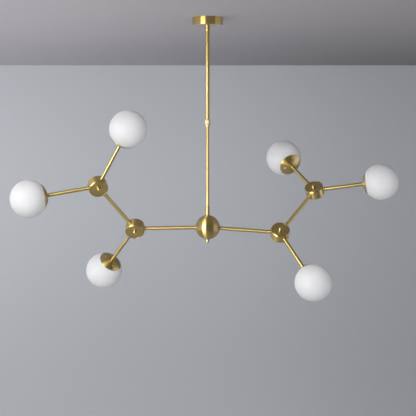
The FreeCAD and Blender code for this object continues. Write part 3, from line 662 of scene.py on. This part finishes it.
finial_foot = -BALL_RADIUS - FINIAL_HEIGHT
finial_outline = softened([
    (0.0, FINIAL_TIP),
    (FINIAL_THREAD, FINIAL_TIP),
    (FINIAL_THREAD, -BALL_RADIUS),
    (FINIAL_RADIUS, -BALL_RADIUS, TURNED_EDGE),
    (FINIAL_RADIUS, finial_foot + FINIAL_SLOPE_HEIGHT),
    (FINIAL_RADIUS - FINIAL_SLOPE_WIDTH, finial_foot, FINIAL_EDGE),
    (0.0, finial_foot),
])
turned("finial_knob", finial_outline, hub, brass, "brass", "finial", TUBE_FACETS)

# ---------------------------------------------------------------- arms and rods


def rod_end(start, sign):
    """Corners of a rod's end in a drum, from the nut inside it to the plain tube. The drum's
    centre is at start, and the rod leaves it upwards or downwards by the sign."""
    stations = [
        (ROD_BORE, ROOT_NUT_FOOT),
        (ROOT_NUT_RADIUS, ROOT_NUT_FOOT, TURNED_EDGE),
        (ROOT_NUT_RADIUS, ROOT_NUT_TOP, TURNED_EDGE),
        (ROD_RADIUS, ROOT_NUT_TOP),
        (ROD_RADIUS, ROD_COLLAR_START),
        (ROD_COLLAR_RADIUS, ROD_COLLAR_START, TURNED_EDGE),
        (ROD_COLLAR_RADIUS, ROD_COLLAR_END, ROD_COLLAR_EDGE),
        (ROD_RADIUS, ROD_COLLAR_END),
    ]
    return [(radius, start + sign * height, *rounding) for radius, height, *rounding in stations]


ARM_OUTLINE = softened([(ROD_BORE, ARM_ROOT), (ROD_RADIUS, ARM_ROOT)] + rod_end(ARM_LENGTH, -1)[::-1])
BRANCH_OUTLINE = softened(rod_end(0.0, 1) + rod_end(BRANCH_LENGTH, -1)[::-1])

for side, branch in (("left", left), ("right", right)):
    arm_place = axes_at(hub_point, branch["along"], branch["inner_axis"])
    turned(side + "_arm_tube", ARM_OUTLINE, arm_place, tube_brass, "brass", side + "_arm", TUBE_FACETS)
    rod_place = axes_at(branch["inner"], branch["rise"], branch["inner_axis"])
    turned(side + "_branch_tube", BRANCH_OUTLINE, rod_place, tube_brass, "brass", side + "_branch_rod",
           TUBE_FACETS)

# ---------------------------------------------------------------- drum joints

RING_OUTLINE = softened([
    (DRUM_RADIUS - DRUM_WALL, -COVER_SEAT),
    (COVER_RADIUS + FIT, -COVER_SEAT),
    (COVER_RADIUS + FIT, -DRUM_HEIGHT / 2, DRUM_LIP),
    (DRUM_RADIUS, -DRUM_HEIGHT / 2, DRUM_EDGE),
    (DRUM_RADIUS, DRUM_HEIGHT / 2, DRUM_EDGE),
    (COVER_RADIUS + FIT, DRUM_HEIGHT / 2, DRUM_LIP),
    (COVER_RADIUS + FIT, COVER_SEAT),
    (DRUM_RADIUS - DRUM_WALL, COVER_SEAT),
], steps=8)

STUD_OUTLINE = [
    Vector((0, -STUD_HALF_LENGTH)),
    Vector((STUD_RADIUS, -STUD_HALF_LENGTH)),
    Vector((STUD_RADIUS, STUD_HALF_LENGTH)),
    Vector((0, STUD_HALF_LENGTH)),
]

CAP_NUT_OUTLINE = softened([
    (STUD_RADIUS + FIT, COVER_TOP),
    (CAP_NUT_RADIUS, COVER_TOP, TURNED_EDGE),
    (CAP_NUT_RADIUS, COVER_TOP + CAP_NUT_SHOULDER, CAP_NUT_EDGE),
    (CAP_NUT_DOME_RADIUS, COVER_TOP + CAP_NUT_DOME_HEIGHT, CAP_NUT_DOME_EDGE),
    (0.0, COVER_TOP + CAP_NUT_HEIGHT),
    (0.0, STUD_HALF_LENGTH + PLAY),
    (STUD_RADIUS + FIT, STUD_HALF_LENGTH + PLAY),
], steps=5)


def cover_outline():
    """Chamfered disc with fine turned grooves on its outer face."""
    points = [
        Vector((STUD_RADIUS + FIT, COVER_SEAT)),
        Vector((COVER_RADIUS, COVER_SEAT)),
        Vector((COVER_RADIUS, COVER_TOP - COVER_CHAMFER)),
        Vector((COVER_RADIUS - COVER_CHAMFER, COVER_TOP)),
    ]
    radius = COVER_RADIUS - GROOVE_BORDER
    while radius > GROOVES_END:
        points.append(Vector((radius, COVER_TOP)))
        points.append(Vector((radius - GROOVE_WIDTH / 2, COVER_TOP - GROOVE_DEPTH)))
        points.append(Vector((radius - GROOVE_WIDTH, COVER_TOP)))
        radius -= GROOVE_PITCH
    points.append(Vector((STUD_RADIUS + FIT, COVER_TOP)))
    return points


COVER_OUTLINE = cover_outline()
RIM_BORES = []
for way in range(DRUM_WAYS):
    way_angle = 2 * math.pi * way / DRUM_WAYS
    outward = Vector((math.cos(way_angle), math.sin(way_angle), 0))
    RIM_BORES.append((axes_at((0, 0, 0), outward, UP), ROD_RADIUS + PLAY, 0.0, 2 * DRUM_RADIUS))


def drum(name, node, centre, axis, forward):
    """Ring with a bore for each rod, and on a stud two covers and two cap nuts."""
    place = axes_at(centre, axis, forward)
    ring = pierced(lathe_mesh(name + "_ring", RING_OUTLINE, ROUND_FACETS), RIM_BORES)
    piece(name + "_ring", ring, place, drum_brass, node + "_drum_body")
    flipped = place @ Matrix.Rotation(math.pi, 4, "X")
    for ending, spot in (("a", place), ("b", flipped)):
        turned("%s_cover_%s" % (name, ending), COVER_OUTLINE, spot, face_brass, "turned_brass",
               node + "_drum_covers", COVER_FACETS)
        turned("%s_nut_%s" % (name, ending), CAP_NUT_OUTLINE, spot, nut_brass, "brass",
               node + "_drum_tie", NUT_FACETS)
    turned(name + "_stud", STUD_OUTLINE, place, steel, "brass", node + "_drum_tie", STUD_FACETS)


for side, branch in (("left", left), ("right", right)):
    drum(side + "_lower_joint", side + "_inner", branch["inner"], branch["inner_axis"], -branch["along"])
    drum(side + "_upper_joint", side + "_outer", branch["outer"], branch["outer_axis"], -branch["rise"])

# ---------------------------------------------------------------- lamps


def polar(angle):
    """Direction at an angle in radians from the +Z axis, as (radius, height)."""
    return Vector((math.sin(angle), math.cos(angle)))


def half_round(centre, radius, outward, onward, steps):
    """Points within the half circle that leads from outward, over onward, to inward."""
    points = []
    for step in range(1, steps):
        angle = math.pi * step / steps
        points.append(centre + (outward * math.cos(angle) + onward * math.sin(angle)) * radius)
    return points


def globe_outline():
    """Glass ball with a rounded lip at its mouth."""
    middle = GLOBE_RADIUS - GLOBE_WALL / 2
    lip = math.asin(MOUTH_RADIUS / middle)
    outward = polar(lip)
    onward = Vector((-math.cos(lip), math.sin(lip)))
    points = arc(GLOBE_RADIUS, 180.0, math.degrees(lip), GLOBE_STEPS)
    points += half_round(outward * middle, GLOBE_WALL / 2, outward, onward, LIP_STEPS)
    points += arc(GLOBE_RADIUS - GLOBE_WALL, math.degrees(lip), 180.0, GLOBE_STEPS)
    return points


def cup_outline():
    """Spun cap over the globe, with a rounded rim and a hole for the rod's spigot."""
    hole = NIPPLE_RADIUS + FIT
    rim = math.radians(CUP_ANGLE)
    rim_radius = (CUP_OUTER - CUP_INNER) / 2
    outward = polar(rim)
    onward = Vector((math.cos(rim), -math.sin(rim)))
    rim_centre = outward * (CUP_INNER + rim_radius) - onward * rim_radius
    outer_start = math.degrees(math.asin(hole / CUP_OUTER))
    inner_start = math.degrees(math.asin(hole / CUP_INNER))
    points = arc(CUP_OUTER, outer_start, CUP_ANGLE - CUP_RIM_ANGLE, CUP_STEPS)
    points += half_round(rim_centre, rim_radius, outward, onward, CUP_RIM_STEPS)
    points += arc(CUP_INNER, CUP_ANGLE - CUP_RIM_ANGLE, inner_start, CUP_STEPS)
    return points


cup_seat = LAMP_REACH - CUP_OUTER
spigot_bore_start = cup_seat - 2 * NIPPLE_RADIUS
LAMP_ROD_OUTLINE = softened(rod_end(0.0, 1) + [
    (ROD_RADIUS, cup_seat, TURNED_EDGE),
    (NIPPLE_RADIUS, cup_seat),
    (NIPPLE_RADIUS, LAMP_REACH - SPIGOT_TIP, TURNED_EDGE),
    (NIPPLE_BORE, LAMP_REACH - SPIGOT_TIP),
    (NIPPLE_BORE, spigot_bore_start),
    (ROD_BORE, spigot_bore_start),
])
GLOBE_OUTLINE = globe_outline()
CUP_OUTLINE = cup_outline()


def lamp(name, node, ending, start, direction, axis):
    """Rod out from a drum's centre, cup on the rod's spigot and globe under the cup. The node is
    the drum's, whose two lamps share nodes with a plural ending."""
    centre = start + direction * LAMP_REACH * MM
    at_globe = axes_at(centre, -direction, axis)
    turned(name + "_lamp_tube", LAMP_ROD_OUTLINE, axes_at(start, direction, axis), tube_brass, "brass",
           node + "_lamp_rod" + ending, TUBE_FACETS)
    turned(name + "_spun_cup", CUP_OUTLINE, at_globe, cup_brass, "brass", node + "_cup" + ending,
           ROUND_FACETS)
    # The ball's mesh is turned to its rod, and not its object, so its box is no wider than the ball.
    ball = lathe_mesh(name + "_opal_ball", GLOBE_OUTLINE, ROUND_FACETS)
    ball.transform(at_globe.to_3x3().to_4x4())
    piece(name + "_opal_ball", ball, Matrix.Translation(centre), opal, name + "_globe")


for side, branch in (("left", left), ("right", right)):
    for spot, station, ending in (("low", "inner", ""), ("out", "outer", "s"), ("top", "outer", "s")):
        lamp("%s_%s" % (side, spot), "%s_%s" % (side, station), ending,
             branch[station], branch["reach"][spot], branch[station + "_axis"])

# ---------------------------------------------------------------- finish of the other nodes

FINISHES = {
    "steel": steel,
    "nickel": nickel,
    "brass": brass,
    "turned_brass": face_brass,
    "opal_glass": opal,
    "bulb_glass": bulb_white,
    "holder_plastic": holder_black,
    "block_plastic": block_ivory,
}
for entry in frame["record"]["subparts"]:
    node = frame["nodes"][entry["node"]]
    node.data.materials.clear()
    node.data.materials.append(FINISHES[entry["material_slot"]])

# ---------------------------------------------------------------- room, lights and camera

# The ceiling, wall and floor, in metres
CEILING_FRONT = -0.9
WALL_Y = 1.752
ROOM_HALF = 6.0
FLOOR_Z = -3.6
CEILING_PAINT = (0.79, 0.76, 0.80)
WALL_PAINT = (0.63, 0.652, 0.688)
FLOOR_PAINT = (0.74, 0.74, 0.73)
MATT_PAINT = {"Roughness": 0.9, "Specular IOR Level": 0.1}


def painted_falloff(tree, colour, shade_falloffs):
    """Painted shade: paint that gets darker smoothly along an axis for each falloff, from its start to its
    end, where a share of the light is left. It stands in for light falling off across the room."""
    place = add(tree, "ShaderNodeTexCoord")
    parts = add(tree, "ShaderNodeSeparateXYZ")
    tree.links.new(place.outputs["Object"], parts.inputs["Vector"])
    paint = None
    for shade_falloff in shade_falloffs:
        ramp = add(tree, "ShaderNodeMapRange", interpolation_type="SMOOTHSTEP")
        set_sockets(ramp, {"From Min": shade_falloff["start"], "From Max": shade_falloff["end"]})
        set_sockets(ramp, {"To Min": 1.0, "To Max": shade_falloff["share"]})
        tree.links.new(parts.outputs[shade_falloff["axis"]], ramp.inputs["Value"])
        darker = add(tree, "ShaderNodeVectorMath", operation="SCALE")
        darker.inputs[0].default_value = colour
        if paint:
            tree.links.new(paint, darker.inputs[0])
        tree.links.new(ramp.outputs["Result"], darker.inputs["Scale"])
        paint = darker.outputs["Vector"]
    return paint


def sheet_of(name, corners, colour, shade_falloffs=()):
    """One flat face of the room, painted on the side that its corners run round anticlockwise, and clear
    from its back. Its falloffs, if given, paint shade on it."""
    mesh = bpy.data.meshes.new(name)
    mesh.from_pydata(corners, [], [tuple(range(len(corners)))])
    material, tree, shader = new_material(name)
    set_sockets(shader, MATT_PAINT)
    shader.inputs["Base Color"].default_value = (*colour, 1)
    if shade_falloffs:
        tree.links.new(painted_falloff(tree, colour, shade_falloffs), shader.inputs["Base Color"])
    clear = add(tree, "ShaderNodeBsdfTransparent")
    facing = add(tree, "ShaderNodeNewGeometry")
    either = add(tree, "ShaderNodeMixShader")
    tree.links.new(facing.outputs["Backfacing"], either.inputs["Fac"])
    tree.links.new(shader.outputs["BSDF"], either.inputs[1])
    tree.links.new(clear.outputs["BSDF"], either.inputs[2])
    tree.links.new(either.outputs["Shader"], tree.nodes["Material Output"].inputs["Surface"])
    mesh.materials.append(material)
    thing = bpy.data.objects.new(name, mesh)
    bpy.context.scene.collection.objects.link(thing)
    return thing


# Painted shade: the ceiling is painted darker towards the right and towards the wall, where the light
# falls off.
sheet_of("ceiling", [
    (-ROOM_HALF, CEILING_FRONT, 0),
    (-ROOM_HALF, WALL_Y, 0),
    (ROOM_HALF, WALL_Y, 0),
    (ROOM_HALF, CEILING_FRONT, 0),
], CEILING_PAINT, [
    {"axis": "X", "start": -1.0, "end": 1.0, "share": 0.53},
    {"axis": "Y", "start": -0.2, "end": 1.6, "share": 0.75},
])
# Painted shade: the wall is painted darker towards the right and towards the floor, where the light falls
# off.
sheet_of("wall", [
    (-ROOM_HALF, WALL_Y, FLOOR_Z),
    (ROOM_HALF, WALL_Y, FLOOR_Z),
    (ROOM_HALF, WALL_Y, 0),
    (-ROOM_HALF, WALL_Y, 0),
], WALL_PAINT, [
    {"axis": "X", "start": 0.0, "end": 1.0, "share": 0.86},
    {"axis": "Z", "start": -0.3, "end": -1.4, "share": 0.80},
])
sheet_of("floor", [
    (-ROOM_HALF, -ROOM_HALF, FLOOR_Z),
    (ROOM_HALF, -ROOM_HALF, FLOOR_Z),
    (ROOM_HALF, WALL_Y, FLOOR_Z),
    (-ROOM_HALF, WALL_Y, FLOOR_Z),
], FLOOR_PAINT)

LAMP_MIDDLE = Vector((0, 0, -0.6))
WASHED_SPOT = Vector((-0.5, WALL_Y, -0.2))


def area_light(name, azimuth, elevation, distance, width, height, power, aim=LAMP_MIDDLE):
    """Soft light placed round the chandelier and aimed at its middle or at the place given. The
    azimuth is 0 on the viewer's side and positive to the right, in degrees."""
    a = math.radians(azimuth)
    e = math.radians(elevation)
    back = Vector((math.sin(a) * math.cos(e), -math.cos(a) * math.cos(e), math.sin(e)))
    data = bpy.data.lights.new(name, "AREA")
    data.shape = "RECTANGLE"
    data.size = width
    data.size_y = height
    data.energy = power
    light = bpy.data.objects.new(name, data)
    light.location = LAMP_MIDDLE + back * distance
    light.rotation_mode = "QUATERNION"
    light.rotation_quaternion = (aim - light.location).to_track_quat("-Z", "Y")
    bpy.context.scene.collection.objects.link(light)
    return light


key = area_light("key", -33, 10, distance=3.6, width=2.6, height=3.4, power=104)
gloss_strip = area_light("gloss_strip", -36, 2, distance=3.4, width=2.2, height=4.2, power=240)
right_fill = area_light("right_fill", 42, -18, distance=3.4, width=2.2, height=2.8, power=32)
right_band = area_light("right_band", 92, 0, distance=3.4, width=4.4, height=3.6, power=46)
left_band = area_light("left_band", -84, 0, distance=3.6, width=3.6, height=2.6, power=34)
wall_wash = area_light("wall_wash", -98, 0, distance=2.6, width=1.2, height=1.6, power=17, aim=WASHED_SPOT)
for gloss_only in (gloss_strip, right_band, left_band):
    gloss_only.visible_diffuse = False
for matt_only in (key, right_fill, wall_wash):
    matt_only.visible_glossy = False

AIR_LIGHT = {"Color": (0.60, 0.61, 0.62, 1), "Strength": 0.28}
world = bpy.data.worlds.new("room_air")
world.use_nodes = True
set_sockets(world.node_tree.nodes["Background"], AIR_LIGHT)
bpy.context.scene.world = world

# The camera looks level along +Y, in metres, with its lens in millimetres
CAMERA_PLACE = (0.0013, -5.230, -0.6239)
LOOKING_LEVEL = (math.radians(90), 0, 0)
FOCAL_LENGTH = 138.2
SENSOR_WIDTH = 36.0
NEAREST_SEEN = 0.05
FARTHEST_SEEN = 60.0

camera_data = bpy.data.cameras.new("camera")
camera_data.sensor_width = SENSOR_WIDTH
camera_data.lens = FOCAL_LENGTH
camera_data.dof.use_dof = False
camera_data.clip_start = NEAREST_SEEN
camera_data.clip_end = FARTHEST_SEEN
camera = bpy.data.objects.new("camera", camera_data)
camera.location = CAMERA_PLACE
camera.rotation_euler = LOOKING_LEVEL
bpy.context.scene.collection.objects.link(camera)
bpy.context.scene.camera = camera
bpy.context.scene.view_settings.view_transform = "Standard"
